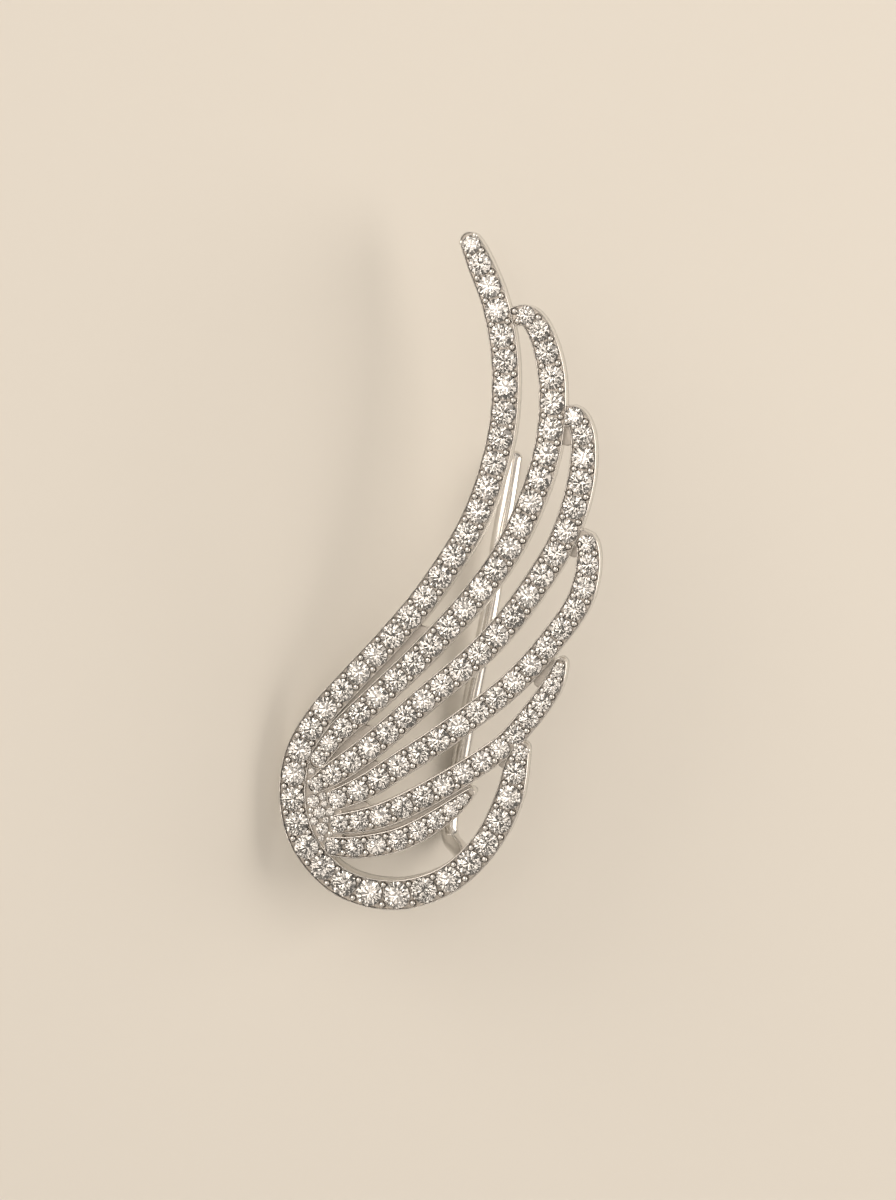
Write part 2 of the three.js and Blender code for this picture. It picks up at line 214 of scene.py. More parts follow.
LINES = {name: line_of(row["path"]) for name, row in ROWS.items()}
print("rows, mm long:", {name: round(line[0][-1], 1) for name, line in LINES.items()})

# %% [markdown]
# ## A band from its profile
# A band could be a curve with a bevel object, but then its round ends, its changing width and its
# edges would not stay parallel. Here every point of the profile has an inset from the band's edge
# and a height. The band's surface is then a grid: along it go the stops of the centreline, across
# it the points of the profile, first up the right side and then down the left.

# %% Grid of a band
INNER_LIMIT = 0.9  # largest half width on the inside of a bend, as a share of its radius
STEP, COARSE_STEP = 0.16, 0.3  # between sections, for a band with a rim and for a plain one
TINY = 1e-6  # keeps a divisor from 0


def stops_along(length, start, end, step, turns=9):
    """Arc lengths of the sections: r (1 - cos a) within a round end of radius r, and even between."""
    quarter = np.linspace(0, np.pi / 2, turns, endpoint=False)
    first, last = start * (1 - np.cos(quarter)), length - end * (1 - np.cos(quarter))
    middle = np.linspace(start, length - end, ceil((length - start - end) / step) + 1)
    return np.concatenate([first, middle, last[::-1]])


def band_grid(line, profile, step=STEP):
    """Points of a band's surface, stops x profile points, closed round the band.

    A profile point (inset, share, z) lies d = inset + share w/2 in from the edge. Its distance from
    the centreline is h = w/2 - d, and in a round end of radius r it is h sqrt(1 - ((r-s)/(r-d))²),
    so its outline is the circle parallel to the end. On the inside of a bend h stays below a share
    of the bend's radius. A round end takes a third of a short band's length at most.
    """
    length = line[0][-1]
    ends = at(line, [0, length])[:, 2] / 2
    ends = np.minimum(ends, length / 3)
    stops = stops_along(length, *ends, step)[:, None]
    inset, share, z = np.array(profile).T[:, None]
    inset = inset + share * at(line, np.clip(stops, ends[0], length - ends[1]))[..., 2] / 2
    s = np.clip(stops, inset, length - inset)
    x, y, width, ahead_x, ahead_y, turn = np.moveaxis(at(line, s), -1, 0)
    from_start, from_end = ends[0] - s, s - (length - ends[1])
    start_circle = np.clip(from_start / np.maximum(ends[0] - inset, TINY), 0, 1)
    end_circle = np.clip(from_end / np.maximum(ends[1] - inset, TINY), 0, 1)
    half = (width / 2 - inset) * np.sqrt(1 - np.maximum(start_circle, end_circle) ** 2)
    limit = INNER_LIMIT / np.maximum(np.abs(turn), TINY) - inset
    sides = []
    for side in (-1, 1):
        h = np.where(turn * side > 0, np.minimum(half, limit), half)
        h = np.maximum(h, 0) * side
        sides.append(np.stack([x - ahead_y * h, y + ahead_x * h, z + 0 * h], axis=-1))
    right, left = sides
    return np.concatenate([right, left[:, -2:0:-1]], axis=1)


# %% [markdown]
# ## Meshes from grids
# from_pydata takes the grid's points and its quads. Points that fall together, as at a band's round
# end, are merged, which leaves a closed surface.

# %% Mesh helpers
MERGE = 1e-4  # millimetres


def quads(rows, columns):
    """Index quads of a grid that is closed round its columns: (i,j), (i+1,j), (i+1,j+1), (i,j+1)."""
    index = np.arange(rows * columns).reshape(rows, columns)
    across = np.roll(index, -1, axis=1)
    return np.stack([index[:-1], index[1:], across[1:], across[:-1]], axis=-1).reshape(-1, 4)


def mesh_object(name, points, faces):
    """A closed object from points in wing millimetres, doubles merged, faces turned outwards."""
    mesh = bpy.data.meshes.new(name)
    mesh.from_pydata(np.asarray(points).reshape(-1, 3).tolist(), [], faces.tolist())
    b = bmesh.new()
    b.from_mesh(mesh)
    bmesh.ops.remove_doubles(b, verts=b.verts, dist=MERGE)
    bmesh.ops.dissolve_degenerate(b, edges=b.edges, dist=MERGE)
    bmesh.ops.recalc_face_normals(b, faces=b.faces)
    if b.calc_volume(signed=True) < 0:
        bmesh.ops.reverse_faces(b, faces=b.faces)
    b.to_mesh(mesh)
    b.free()
    thing = bpy.data.objects.new(name, mesh)
    bpy.context.scene.collection.objects.link(thing)
    return thing


def band(name, line, profile, step=STEP):
    """A closed band as an object."""
    grid = band_grid(line, profile, step)
    return mesh_object(name, grid, quads(*grid.shape[:2]))


def cut_or_join(thing, tools, operation):
    """Boolean of an object with others, in turn. The tools are removed."""
    for tool in tools:
        modifier = thing.modifiers.new(operation, "BOOLEAN")
        modifier.operation, modifier.solver, modifier.object = operation, "MANIFOLD", tool
    seen = thing.evaluated_get(bpy.context.evaluated_depsgraph_get())
    mesh = bpy.data.meshes.new_from_object(seen)
    thing.modifiers.clear()
    old, thing.data = thing.data, mesh
    mesh.name = thing.name
    for unused in [old, *(tool.data for tool in tools)]:
        bpy.data.meshes.remove(unused)
    return thing


# %% [markdown]
# ## The silver bands
# A cast band of this kind is a little wall of metal with a flat back. Its front has a thin raised
# rim on each side, which shows as a bright line along every row, and a shelf between the rims in
# which the setter drills a cone for each stone.

# %% Profile of a rail, from the middle of its back to the middle of its groove
RIM_TOP, GIRDLE, SHELF = 1.34, 1.28, 1.1  # heights of the rims, the stones' edges and the groove
RAIL_PROFILE = [  # inset in mm, inset as a share of the half width, height in mm
    (0.0, 1.0, 0.0),
    (0.10, 0.0, 0.0),
    (0.03, 0.0, 0.03),
    (0.0, 0.0, 0.10),
    (0.0, 0.0, 0.7),
    (0.0, 0.0, RIM_TOP - 0.06),
    (0.01, 0.0, RIM_TOP - 0.025),
    (0.025, 0.0, RIM_TOP - 0.006),
    (0.04, 0.0, RIM_TOP),
    (0.054, 0.0, RIM_TOP - 0.008),
    (0.066, 0.0, RIM_TOP - 0.03),
    (0.07, 0.0, SHELF),
    (0.0, 1.0, SHELF),
]

# %% Rails, each less the space of the rows before it, so that no rim crosses another row
INSIDE, ABOVE = 0.5, 1.75  # heights within the metal and clear of all of it
SPACE_PROFILE = [(0.0, 1.0, INSIDE), (0.01, 0.0, INSIDE), (0.01, 0.0, ABOVE), (0.0, 1.0, ABOVE)]


def spaces(lines):
    """The space that rows take up from within the metal to above it, as tools to cut with."""
    return [band("space", line, SPACE_PROFILE, COARSE_STEP) for line in lines]


rails, earlier = [], []
for name, line in LINES.items():
    rail = band("rail_" + name, line, RAIL_PROFILE)
    rails.append(cut_or_join(rail, spaces(earlier), "DIFFERENCE"))
    earlier.append(line)
print("rails:", [len(rail.data.polygons) for rail in rails])

# %% [markdown]
# ## Webs between the bands
# Where two bands run together the casting closes the gap between them with a lower sheet of metal.
# It shows as a grey recess, so it is a band too, with a plain top and softened edges.

# %% Recessed webs
WEB_PROFILE = [
    (0.0, 1.0, 0.0), (0.03, 0.0, 0.0), (0.0, 0.0, 0.03),
    (0.0, 0.0, 0.51), (0.03, 0.0, 0.54), (0.0, 1.0, 0.55),
]
webs = [band("web_" + name, line_of(path), WEB_PROFILE, COARSE_STEP) for name, path in WEBS.items()]
print("webs:", len(webs))

# %% [markdown]
# ## The bed of the junction
# Where the feathers' feet meet the leading edge the casting is as high as a band's shelf, because
# the setter fills what is left between the rows there with the smallest stones. The bed is a band
# like the webs, less the space of the rows.

# %% Bed of the junction
BED_LINE = line_of(WEBS["junction"])
BED_PROFILE = WEB_PROFILE[:3] + [(0.0, 0.0, SHELF - 0.03), (0.03, 0.0, SHELF), (0.0, 1.0, SHELF)]
bed = band("bed_junction", BED_LINE, BED_PROFILE, COARSE_STEP)
cut_or_join(bed, spaces(LINES.values()), "DIFFERENCE")
print("bed:", len(bed.data.polygons), "faces")

# %% [markdown]
# ## The ear wire
# A round wire could be a curve with a bevel. A grid is used so that it ends in a true ball, swells
# where the solder draws up round its root, and joins the casting as one closed body.

# %% Wire along its route: x, y, z
WIRE_RADIUS = 0.45
WIRE = [
    (3.28, 1.8, 0.3), (3.26, 1.75, -0.7), (3, 1.75, -2.3), (2.45, 2.15, -3.9), (1.85, 2.65, -4.75),
    (1.77, 3.92, -5.1), (2.07, 5.32, -5.15), (2.43, 7.39, -5.1), (3, 10.31, -5),
    (3.83, 14.33, -4.9), (4.32, 17.76, -5), (4.69, 20.03, -5.35), (4.94, 22.21, -6.1)
]


def wire_grid(route, radius, sides=28, step=0.12, solder=0.16, reach=0.3):
    """Round tube, stops x sides: centre + r(s) (cos a, sin a) across the route.

    r(s) = R + solder exp(-(s/reach)²), measured from the back of the wing, and it closes over the
    free end as R sqrt(1 - (1 - t/R)²) at distance t from the end of the ball.
    """
    curve = smooth(route)
    s = arc_length(curve)
    ball = s[-1] - radius * (1 - np.cos(np.linspace(0, np.pi / 2, 9)))[::-1]
    stops = np.concatenate([[0], np.linspace(0, ball[0], ceil(ball[0] / step))[:-1], ball])
    centre, ahead = at((s, curve), stops), at((s, np.gradient(curve, s, axis=0)), stops)
    ahead = ahead / np.linalg.norm(ahead, axis=1, keepdims=True)
    across = np.array([1.0, 0, 0]) - ahead * ahead[:, :1]
    across = across / np.linalg.norm(across, axis=1, keepdims=True)
    beside = np.cross(ahead, across)
    to_end = np.minimum((s[-1] - stops) / radius, 1)
    r = radius * np.sqrt(1 - (1 - to_end) ** 2)
    r = r + solder * np.exp(-(np.maximum(stops - route[0][2], 0) / reach) ** 2)
    r[[0, -1]] = 0
    a = np.linspace(0, 2 * np.pi, sides, endpoint=False)[None, :, None]
    spokes = np.cos(a) * across[:, None] + np.sin(a) * beside[:, None]
    return centre[:, None] + r[:, None, None] * spokes


grid = wire_grid(WIRE, WIRE_RADIUS)
wire = mesh_object("ear_wire", grid, quads(*grid.shape[:2]))
print("ear wire:", len(wire.data.polygons), "faces")

# %% [markdown]
# ## Where the stones sit
# Each stone fills its band between the rims, and the next one follows after a narrow gap, which
# leaves a small three-cornered space at each side. There the setter cuts a pit and raises a bead of
# silver in it, which leans over the edges of both stones.

# %% Stones along a row
RIM, STONE_GAP = 0.08, 0.05  # beside a stone and between two


def stone_stops(row, line):
    """Arc lengths of a row's stones: each follows past a small gap, and then all are spread evenly.

    The step is s' = s + (d(s) + d(s + 1)) / 2 + gap with the diameter d = width - 2 rim, and the
    spread is first + (s - first) (length - last - first) / (s_n - first).
    """
    first, length, last = row["first"], line[0][-1], row["last"]
    stops = [first]
    while True:
        here, there = at(line, [stops[-1], min(stops[-1] + 1, length)])[:, 2] - 2 * RIM
        after = stops[-1] + (here + there) / 2 + STONE_GAP
        if after > length - last:
            break
        stops.append(after)
    spread = (length - last - first) / (stops[-1] - first) if len(stops) > 1 else 1
    return first + (np.array(stops) - first) * spread


STOPS = {name: stone_stops(ROWS[name], line) for name, line in LINES.items()}
PLACES = {  # of the stones in each row: x, y, radius
    name: at(line, STOPS[name])[:, :3] * [1, 1, 0.5] - [0, 0, RIM] for name, line in LINES.items()
}
print("stones in the rows:", {name: len(stops) for name, stops in STOPS.items()})

# %% Beads beside the gaps
BEAD_RADIUS = 0.14
PIT_ACROSS, PIT_ALONG = 0.18, 0.2  # half widths of the oval pit that a bead stands in
TIGHT_END = 0.3  # an end with less room than this before its stone has its beads on the rim
END_ANGLE, END_OUT = radians(50), 0.02


def bead_places(line, stops):
    """Beads of a row as x, y and the heading across the row: those that stand in pits, and the rest.

    Every gap has a bead on each side, and so has an end with room before its stone. Round a tight
    end two beads stand on the rim, at the angle ±a: c + (r + out) (cos a forwards + sin a sidewards).
    """
    x, y, width, ahead_x, ahead_y, _ = at(line, stops[[0, -1]]).T
    radius = at(line, stops)[:, 2] / 2 - RIM
    before, after = stops - radius - STONE_GAP / 2, stops + radius + STONE_GAP / 2
    room = np.array([before[0], line[0][-1] - after[-1]]) > TIGHT_END
    middle = (after[:-1] + before[1:]) / 2
    gaps = np.concatenate([before[:1][room[:1]], middle, after[-1:][room[1:]]])
    gx, gy, gap_width, gap_x, gap_y, _ = at(line, gaps).T
    side = np.array([-1, 1])[:, None] * (gap_width / 2 - RIM - PIT_ACROSS)
    in_pits = np.broadcast_arrays(gx - gap_y * side, gy + gap_x * side, -gap_y, gap_x)
    reach = width / 2 - RIM + END_OUT
    along = reach * [-1, 1] * np.cos(END_ANGLE)
    aside = np.array([-1, 1])[:, None] * reach * np.sin(END_ANGLE)
    on_rim = np.broadcast_arrays(
        x + ahead_x * along - ahead_y * aside, y + ahead_y * along + ahead_x * aside,
        -ahead_y, ahead_x)
    tables = [np.stack(table, axis=-1) for table in (in_pits, on_rim)]
    return tables[0].reshape(-1, 4), tables[1][:, ~room].reshape(-1, 4)


# %% Room beside a band, and beads that another row leaves room for
ROOM_STEP = 0.06


def room_beside(places, line):
    """Least distance from each place to a line's band; below 0 within the band.

    The band is the union of circles of half its width along the line, between its round ends.
    """
    length = line[0][-1]
    first, last = at(line, [0, length])[:, 2] / 2
    near = at(line, np.arange(first, length - last, ROOM_STEP))
    return (np.linalg.norm(places[:, None, :2] - near[:, :2], axis=2) - near[:, 2] / 2).min(axis=1)


def clear_of(places, lines, margin):
    """Keeps the places that lie outside every line's band by a margin."""
    for line in lines:
        places = places[room_beside(places, line) > margin]
    return places


BEAD_CLEAR = 0.04  # of a bead's middle to the row that a feather ends at
PITS, beads, earlier = {}, [], []
for name, line in LINES.items():
    beside_gaps, at_ends = bead_places(line, STOPS[name])
    PITS[name] = clear_of(beside_gaps, earlier, BEAD_CLEAR)
    beads += [PITS[name], clear_of(at_ends, earlier, BEAD_CLEAR)]
    earlier.append(line)
print("beads of the rows:", sum(map(len, beads)))

# %% [markdown]
# ## The small stones of the junction
# Between the ends of the rows the setter puts the smallest stones wherever one still fits, and a
# single bead where none does. So circles are packed in what is free, the largest first.

# %% Circles in the junction, for small stones and single beads
FILL_STEP, FILL_GAP = 0.04, 0.015  # between places that are tried, and beside a circle
LARGEST, SMALLEST_STONE, SMALLEST_BEAD = 0.3, 0.15, BEAD_RADIUS - 0.03  # radii
AREA_EDGE = 1.0  # of the tried places round the area's centreline


def fill(area, lines, largest, smallest, gap):
    """Circles in the free part of an area, the largest first: rows of x, y and radius.

    The room at a place is its distance to the area's edge or the nearest band. Each step takes the
    place with the most room, and then the room is the least of itself and distance - radius.
    """
    corners = area[1][:, :2].min(axis=0) - AREA_EDGE, area[1][:, :2].max(axis=0) + AREA_EDGE
    x, y = np.meshgrid(*(np.arange(low, high, FILL_STEP) for low, high in zip(*corners)))
    grid = np.stack([x, y], axis=-1).reshape(-1, 2)
    grid = grid[room_beside(grid, area) < 0]
    room = np.min([-room_beside(grid, area)] + [room_beside(grid, line) for line in lines], axis=0)
    circles = []
    while room.max() > smallest + gap:
        most = room.argmax()
        radius = min(room[most] - gap, largest)
        circles.append([*grid[most], radius])
        room = np.minimum(room, np.linalg.norm(grid - grid[most], axis=1) - radius)
    return np.array(circles)


def unturned(places):
    """Table for forms that needn't turn: x, y and the direction 1, 0."""
    return np.column_stack([places[:, :2], np.ones(len(places)), np.zeros(len(places))])


circles = fill(BED_LINE, LINES.values(), LARGEST, SMALLEST_BEAD, FILL_GAP)
is_stone = circles[:, 2] > SMALLEST_STONE
PLACES["pave_junction"] = circles[is_stone]
beads = np.concatenate([*beads, unturned(circles[~is_stone])])
print("in the junction:", int(is_stone.sum()), "stones,", int((~is_stone).sum()), "single beads")
print("beads in all:", len(beads))

# %% [markdown]
# ## The setter's work
# Beads, pits and seats are turned forms. A bead is a dome on a short post, a pit is a shallow well,
# and a seat is the cone that a drill leaves. A table of places becomes one mesh of such forms. Seats
# and pits are then cut, and bands, webs, bed, wire and beads are joined, so that the metal is one
# closed body like the casting.

# %% Turned forms
BEAD_TOP, BEAD_POST, BEAD_FOOT = 1.41, 1.18, 0.85
PIT_BEVEL, PIT_FLOOR = 1.05, 0.95
SEAT_RIM, SEAT_POINT, SEAT_SLACK = GIRDLE - 0.03, GIRDLE - 0.62, 0.008
BEAD_SIDES, PIT_SIDES, SEAT_SIDES = 12, 16, 24
BEAD_PROFILE = [  # radius as a share of the form's, height in mm
    (0.0, BEAD_TOP), (0.4, BEAD_TOP - 0.01), (0.72, BEAD_TOP - 0.032), (0.92, BEAD_TOP - 0.058),
    (1.0, BEAD_TOP - 0.1), (0.97, BEAD_POST), (0.9, BEAD_FOOT), (0.0, BEAD_FOOT)]
PIT_PROFILE = [(0.0, ABOVE), (1.0, ABOVE), (1.0, PIT_BEVEL), (0.8, PIT_FLOOR), (0.0, PIT_FLOOR)]
SEAT_PROFILE = [(0.0, ABOVE), (1.0, ABOVE), (1.0, SEAT_RIM), (0.0, SEAT_POINT)]


def turned(name, profile, table, across, along, sides):
    """Turned forms at many places, as one object: p + z(k) up + r(k) (across cos a u + along sin a v).

    A row of the table is the place x, y and the direction u. v points to its left, so a form may be
    oval.
    """
    x, y, ux, uy = table.T[..., None, None]
    a = np.linspace(0, 2 * np.pi, sides, endpoint=False)
    r, z = np.array(profile).T[:, None, :, None]
    u = np.broadcast_to(across, len(table))[:, None, None] * r * np.cos(a)
    v = np.broadcast_to(along, len(table))[:, None, None] * r * np.sin(a)
    points = np.stack(np.broadcast_arrays(x + u * ux - v * uy, y + u * uy + v * ux, z), axis=-1)
    start = len(profile) * sides * np.arange(len(table))[:, None, None]
    return mesh_object(name, points, (quads(len(profile), sides)[None] + start).reshape(-1, 4))


def seats(places):
    """Cones for stones at x, y with a radius, a hair wider than they are."""
    radius = places[:, 2] + SEAT_SLACK
    return turned("seats", SEAT_PROFILE, unturned(places), radius, radius, SEAT_SIDES)


# %% Cut and join the casting
for rail, name in zip(rails, LINES):  # every second seat at a time, so that none overlap
    tools = [seats(PLACES[name][k::2]) for k in (0, 1)]
    tools.append(turned("pits", PIT_PROFILE, PITS[name], PIT_ACROSS, PIT_ALONG, PIT_SIDES))
    cut_or_join(rail, tools, "DIFFERENCE")
cut_or_join(bed, [seats(PLACES["pave_junction"])], "DIFFERENCE")
bead_mass = turned("beads", BEAD_PROFILE, beads, BEAD_RADIUS, BEAD_RADIUS, BEAD_SIDES)
wing = cut_or_join(rails[0], rails[1:] + webs + [bed, wire, bead_mass], "UNION")
wing.name = wing.data.name = "wing_silver"
print("casting:", len(wing.data.polygons), "faces")

# %% Faces the polishing brush doesn't reach, which get painted shade: between a band's rims, below its beads
BRUSH_AND_SHADE_DEPTH, WEB_LEVEL = 1.215, 0.52  # heights
RIM_INSIDE, LOOKS_UP = 0.06, 0.2  # inset from a band's edge, and least z of a normal


def rough_and_shaded(thing):
    """True from the webs' level to the brush's for faces that look up or lie inside a row's rims.

    These recesses get the rougher silver, whose darker grey is painted shade.
    """
    centres, normals = np.empty((2, 3 * len(thing.data.polygons)))
    thing.data.polygons.foreach_get("center", centres)
    thing.data.polygons.foreach_get("normal", normals)
    centres = centres.reshape(-1, 3)
    deep = (centres[:, 2] > WEB_LEVEL) & (centres[:, 2] < BRUSH_AND_SHADE_DEPTH)
    inside = normals[2::3][deep] > LOOKS_UP
    for line in LINES.values():
        inside |= room_beside(centres[deep], line) < -RIM_INSIDE
    deep[deep] = inside
    return deep


shaded_pit_faces = rough_and_shaded(wing)
# These faces take the second material: rougher silver whose darker grey is painted shade.
wing.data.polygons.foreach_set("material_index", shaded_pit_faces.astype(np.int32))
print("unpolished faces:", int(shaded_pit_faces.sum()))

# %% [markdown]
# ## A round brilliant
# The stones are cubic zirconia in the round brilliant cut: a table, eight stars, eight kites and
# sixteen upper facets on the crown, and sixteen lower facets and eight mains on the pavilion. The
# pavilion's angle of about 41 degrees throws the light back out of the table, which is why a
# stone sparkles though the silver lies right behind it. So every facet is modelled.

# %% Facets of a stone of radius 1
TABLE, STAR, MAIN = 0.57, 0.76, 0.24  # radii where table, stars and mains end
CROWN, GIRDLE_HALF, PAVILION = 0.30, 0.02, 0.86  # heights


def ring(r, angle, z):
    """Points of a level ring: (r cos a, r sin a, z)."""
    return np.stack([r * np.cos(angle), r * np.sin(angle), z + 0 * angle], axis=-1)


def brilliant():
    """Points and triangles of a brilliant with its girdle in z = 0.

    Rings of eight lie at 45 k degrees or half a step on. The kite through table corner and girdle
    is the plane z = crown (1-x)/(1-table), and the main is z = -pavilion (1-x). The points between
    them lie on both planes that meet there, at x = r cos 22.5°.
    """
    eight, sixteen = np.arange(8), np.arange(16)
    main, half, all_round = eight * np.pi / 4, (eight + 0.5) * np.pi / 4, sixteen * np.pi / 8
    inner = np.cos(np.pi / 8)
    points = np.concatenate([
        ring(TABLE, main, GIRDLE_HALF + CROWN),
        ring(STAR, half, GIRDLE_HALF + CROWN * (1 - STAR * inner) / (1 - TABLE)),
        ring(1, all_round, GIRDLE_HALF),
        ring(1, all_round, -GIRDLE_HALF),
        ring(MAIN, half, -GIRDLE_HALF - PAVILION * (1 - MAIN * inner)),
        [[0, 0, -GIRDLE_HALF - PAVILION]],
    ])
    t, m, up, low, p, culet = eight, 8 + eight, 16 + sixteen, 32 + sixteen, 48 + eight, np.full(8, 56)
    nxt, prv = np.roll(t, -1), np.roll(m, 1)
    even, odd, even_on = up[::2], up[1::2], np.roll(up[::2], -1)
    even_l, odd_l, even_l_on = low[::2], low[1::2], np.roll(low[::2], -1)
    up_on, low_on = np.roll(up, -1), np.roll(low, -1)
    rows = [
        (t[1:-1], t[2:], np.zeros(6, int)), (t, m, nxt), (t, prv, even), (t, even, m),
        (m, even, odd), (m, odd, even_on), (up, low, low_on), (up, low_on, up_on),
        (p, odd_l, even_l), (p, even_l_on, odd_l), (culet, p, even_l), (culet, even_l, np.roll(p, 1)),
    ]
    return points, np.concatenate([np.stack(row, axis=-1) for row in rows])


FACET_POINTS, FACETS = brilliant()
print("facets as triangles:", len(FACETS))


# %% Stones of a row
LEAN = 1.6  # degrees, the spread of a stone's tilt by chance


def stones(name, places, rng):
    """A row of stones: r R_i p + (x, y, girdle), each stone turned by chance and leaning a little."""
    count = len(places)
    spin = rng.uniform(0, np.pi / 4, count)
    lean = np.radians(rng.normal(0, LEAN, (count, 2)))
    turn = np.stack([turn_x(a) @ turn_y(b) @ turn_z(c) for (a, b), c in zip(lean, spin)])
    points = np.einsum("nij,pj->npi", turn, FACET_POINTS) * places[:, 2, None, None]
    points = points + np.column_stack([places[:, :2], np.full(count, GIRDLE)])[:, None]
    faces = FACETS[None] + len(FACET_POINTS) * np.arange(count)[:, None, None]
    return mesh_object(name, points, faces.reshape(-1, 3))


rng = np.random.default_rng(7)
pave = {name: stones(name.replace("pave", "stones"), places, rng) for name, places in PLACES.items()}
print("stones:", sum(len(places) for places in PLACES.values()))

# %% [markdown]
# ## Onto the table
# Every mesh so far is in wing millimetres. Its points now move to the table's frame in metres, and
# its object stays at the origin. The casting is shaded smooth up to a crease of 38 degrees, while
# cut stones keep their flat facets.

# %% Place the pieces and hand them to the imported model
CREASE = 38  # degrees


def settle(thing, crease=None):
    """Moves a mesh's points from the wing's plane to the table."""
    mesh = thing.data
    co = np.empty(len(mesh.vertices) * 3, np.float32)
    mesh.vertices.foreach_get("co", co)
    mesh.vertices.foreach_set("co", on_table(co.reshape(-1, 3)).astype(np.float32).ravel())
    if crease is not None:
        mesh.shade_smooth()
        mesh.set_sharp_from_angle(angle=radians(crease))
    mesh.update()
    return thing


settle(wing, CREASE)
for thing in pave.values():
    settle(thing)
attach(wing, "root")
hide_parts("wing_frame_with_ear_wire")
for name, thing in pave.items():
    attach(thing, "root")
    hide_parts(name)
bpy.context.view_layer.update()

# %% [markdown]
# ## Materials
# Colours are sRGB hex values, turned to linear in one place. One small helper adds a node with its
# settings and links, so that a material reads as a list of its nodes.


# %% Material helpers
def linear(hex_colour):
    """sRGB hex to linear RGBA: c <= 0.04045: c/12.92, else ((c+0.055)/1.055)^2.4."""
    c = np.array([int(hex_colour[i : i + 2], 16) for i in (1, 3, 5)]) / 255
    return (*np.where(c <= 0.04045, c / 12.92, ((c + 0.055) / 1.055) ** 2.4).tolist(), 1.0)


def new_material(name):
    """A material with a plain Principled shader, its node tree and the shader's node."""
    material = bpy.data.materials.new(name)
    material.use_nodes = True
    return material, material.node_tree, material.node_tree.nodes["Principled BSDF"]


def node(tree, kind, settings=None, **inputs):
    """Adds a node. settings are its properties; an input is a value or a socket to link from."""
    added = tree.nodes.new(kind)
    for key, value in (settings or {}).items():
        setattr(added, key, value)
    for key, value in inputs.items():
        connect(tree, added, key.replace("_", " "), value)
    return added


def connect(tree, target, key, value):
    """Sets an input socket or links it."""
    socket = target.inputs[int(key)] if key.isdigit() else target.inputs[key]
    if isinstance(value, bpy.types.NodeSocket):
        tree.links.new(value, socket)
    else:
        socket.default_value = value


def connect_all(tree, target, inputs):
    """Sets or links several inputs of a node."""
    for key, value in inputs.items():
        connect(tree, target, key, value)


def dress(thing, *materials):
    """Gives a mesh its materials, in the order of its material indices."""
    index = np.empty(len(thing.data.polygons), np.int32)
    thing.data.polygons.foreach_get("material_index", index)
    thing.data.materials.clear()
    for material in materials:
        thing.data.materials.append(material)
    thing.data.polygons.foreach_set("material_index", np.minimum(index, len(materials) - 1))


# %% [markdown]
# ## Rhodium-plated sterling silver
# The casting is tumbled and polished, then plated with a thin layer of rhodium, which gives a
# white, hard mirror. Tumbling leaves the surface very slightly wavy over about a millimetre, and
# handling adds hairlines of a few hundredths, which only show in the highlights. In the pits and on
# the webs, where no brush gets in, the plating is rougher and lies on the fine grain of the casting.
# Its darker grey there is painted shade for the recesses.

# %% Polished silver
silver, tree, shader = new_material("rhodium_plated_silver_polished")
place = node(tree, "ShaderNodeTexCoord").outputs["Object"]
waves = node(tree, "ShaderNodeTexNoise", Vector=place, Scale=1 / (0.9 * MM), Detail=2.0)
hairs = node(tree, "ShaderNodeMapping", Vector=place, Scale=(1.0, 6.0, 2.0))
hairs = node(tree, "ShaderNodeTexNoise", Vector=hairs.outputs[0], Scale=1 / (0.25 * MM), Detail=4.0)
gloss = node(
    tree, "ShaderNodeMapRange", Value=hairs.outputs["Fac"],
    From_Min=0.35, From_Max=0.7, To_Min=0.14, To_Max=0.22)
bump = node(tree, "ShaderNodeBump", Height=waves.outputs["Fac"], Strength=0.15, Distance=0.03 * MM)
connect_all(tree, shader, {
    "Base Color": linear("#E6E4E1"), "Metallic": 1.0,
    "Roughness": gloss.outputs[0], "Normal": bump.outputs[0],
})

# %% Silver in the pits and on the webs: rougher, and darker grey as painted shade
shaded_pit_silver, tree, shader = new_material("rhodium_plated_silver_rough_and_shaded")
place = node(tree, "ShaderNodeTexCoord").outputs["Object"]
grain = node(tree, "ShaderNodeTexNoise", Vector=place, Scale=1 / (0.06 * MM), Detail=3.0)
# Both greys lie below the polished silver's tone and are painted shade for the recesses; the noise
# between them is the casting's grain.
tone = node(
    tree, "ShaderNodeMix", dict(data_type="RGBA"),
    **{"0": grain.outputs["Fac"], "6": linear("#AAA49D"), "7": linear("#D8D3CC")})
bump = node(tree, "ShaderNodeBump", Height=grain.outputs["Fac"], Strength=0.4, Distance=0.01 * MM)
connect_all(tree, shader, {
    "Base Color": tone.outputs[2], "Metallic": 1.0, "Roughness": 0.34, "Normal": bump.outputs[0],
})
dress(wing, silver, shaded_pit_silver)

# %% [markdown]
# ## Cubic zirconia
# The stones are cut and polished flat, clear and colourless. Their index of 2.16 bends light almost
# as strongly as diamond does, and that alone makes the pattern of light and dark. The grey base
# colour is painted shade: it dims what comes back out, standing for the light that a small, closed
# seat swallows, and keeps the beads beside the stones the brighter ones.

# %% Stones
zirconia, tree, shader = new_material("cubic_zirconia_brilliant_cut")
# The grey base colour is painted shade for the light lost in the seats.
connect_all(tree, shader, {
    "Base Color": linear("#D0CFCD"), "Roughness": 0.0, "IOR": 2.16, "Transmission Weight": 1.0,
})
for thing in pave.values():
    dress(thing, zirconia)

# %% [markdown]
# ## Stage
# A plain pale floor under a dome of small soft lights. A facet is a mirror that shows one small part
# of the room, so a room of one smooth tone would make grey stones, and many lights of unequal
# strength make each facet differ from the next. A broad window light on the left gives the metal its
# smooth highlights, one on the right, low in front of the wing, reaches the floor, and a small one
# close to the camera shows in the stones' tables and on the beads.

# %% Directions of the camera: out of the wing towards it, up and right in its picture
TOWARDS_CAMERA = np.array([0.1474, 0.0785, 0.9860])  # in the wing's own x, y, z
out = WING @ TOWARDS_CAMERA
up = WING[:, 1] - out * (out @ WING[:, 1])
up = up / np.linalg.norm(up)
right = np.cross(up, out)
AIM = on_table([2.621, 15.208, 1.35])


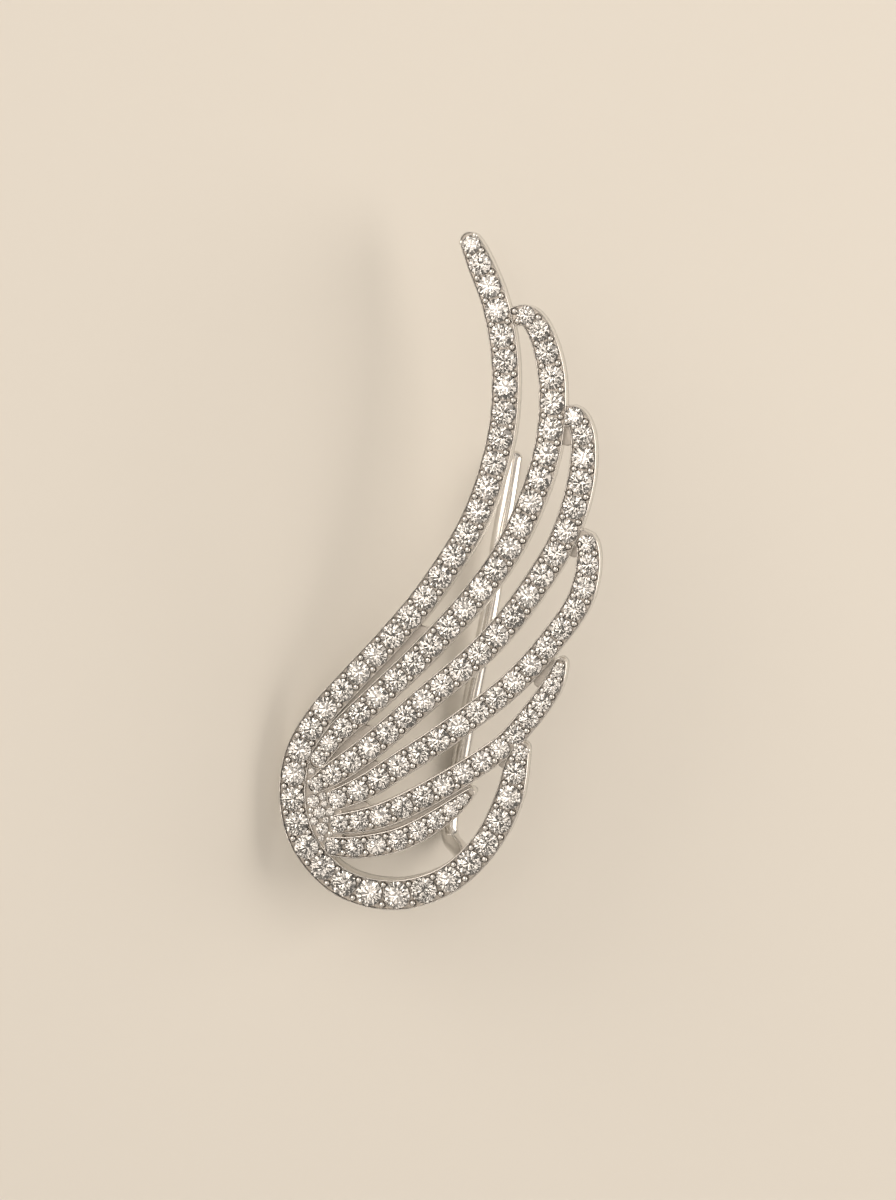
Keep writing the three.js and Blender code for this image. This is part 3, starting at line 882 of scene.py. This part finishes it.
def facing(place, away, top=(0, 0, 1)):
    """Matrix of a lamp or camera at a place, looking against the direction away."""
    z = away / np.linalg.norm(away)
    x = np.cross(top, z)
    x = x / np.linalg.norm(x)
    y = np.cross(z, x)
    m = np.eye(4)
    m[:3, :3], m[:3, 3] = np.stack([x, y, z], axis=1), place
    return Matrix(m.tolist())


# %% Floor and surrounding light
FLOOR_SIZE = 1.6  # metres
bpy.ops.mesh.primitive_plane_add(size=FLOOR_SIZE)
floor = bpy.context.object
floor.name = "floor"
plaster, tree, shader = new_material("pale_plaster")
connect_all(tree, shader, {"Base Color": linear("#DFDCD5"), "Roughness": 0.7})
dress(floor, plaster)

world = bpy.data.worlds.new("studio")
bpy.context.scene.world = world
world.use_nodes = True
background = world.node_tree.nodes["Background"]
connect_all(world.node_tree, background, {"Color": linear("#EFE6DA"), "Strength": 0.26})


# %% Lights
LIGHT_DISTANCE = 300.0  # millimetres


def soft_light(name, direction, width_mm, radiance, colour="#FFF3E6"):
    """Square area light in a direction (right, up, out); its power is radiance · π · width²."""
    data = bpy.data.lights.new(name, "AREA")
    data.shape, data.size = "SQUARE", width_mm * MM
    data.energy = radiance * np.pi * data.size**2
    data.color = linear(colour)[:3]
    lamp = bpy.data.objects.new(name, data)
    bpy.context.scene.collection.objects.link(lamp)
    away = np.array(direction) @ np.stack([right, up, out])
    away = away / np.linalg.norm(away) * LIGHT_DISTANCE * MM
    lamp.matrix_world = facing(AIM + away, away)
    return lamp


# %% Dome: cos(polar) falls in equal steps while the azimuth turns by the golden angle
PANELS, PANEL_WIDTH, DOME_ANGLE = 220, 27.0, radians(80)
GOLDEN_ANGLE = np.pi * (3 - np.sqrt(5))
FIRST_STEP, FIRST_AZIMUTH = 0.8, 0.6
MEAN_RADIANCE, TO_RIGHT, TO_TOP = 1.38, -0.4, 0.3  # the room is brighter on its left and above

k = np.arange(PANELS)
polar = np.arccos(1 - (1 - np.cos(DOME_ANGLE)) * (k + FIRST_STEP) / PANELS)
azimuth = GOLDEN_ANGLE * k + FIRST_AZIMUTH
dome = np.stack([np.sin(polar) * np.cos(azimuth), np.sin(polar) * np.sin(azimuth), np.cos(polar)], 1)
chance = np.random.default_rng(3).uniform(0.6, 1.4, PANELS)
radiance = MEAN_RADIANCE * (1 + TO_RIGHT * dome[:, 0] + TO_TOP * dome[:, 1]) * chance
for i in range(PANELS):
    soft_light("panel_%03d" % i, dome[i], PANEL_WIDTH, radiance[i])

# %% Windows and the light by the camera
soft_light("window_left", (-0.55, 0.45, 0.7), width_mm=180, radiance=2.4)
soft_light("window_right", (0.97, 0.0, 0.2), width_mm=240, radiance=3.3)
soft_light("table_light", (-0.15, 0.08, 0.98), width_mm=80, radiance=2.8)
print("lights:", len(bpy.data.lights))

# %% Camera
FRAME_HEIGHT, SENSOR_HEIGHT = 58.64, 36.0  # millimetres, at the wing and in the camera
camera_data = bpy.data.cameras.new("camera")
camera_data.lens = 120
camera_data.clip_start = 0.01
camera = bpy.data.objects.new("camera", camera_data)
bpy.context.scene.collection.objects.link(camera)
distance = FRAME_HEIGHT * camera_data.lens / SENSOR_HEIGHT * MM
camera.matrix_world = facing(AIM + out * distance, out, top=up)
bpy.context.scene.camera = camera
bpy.context.scene.view_settings.view_transform = "Standard"
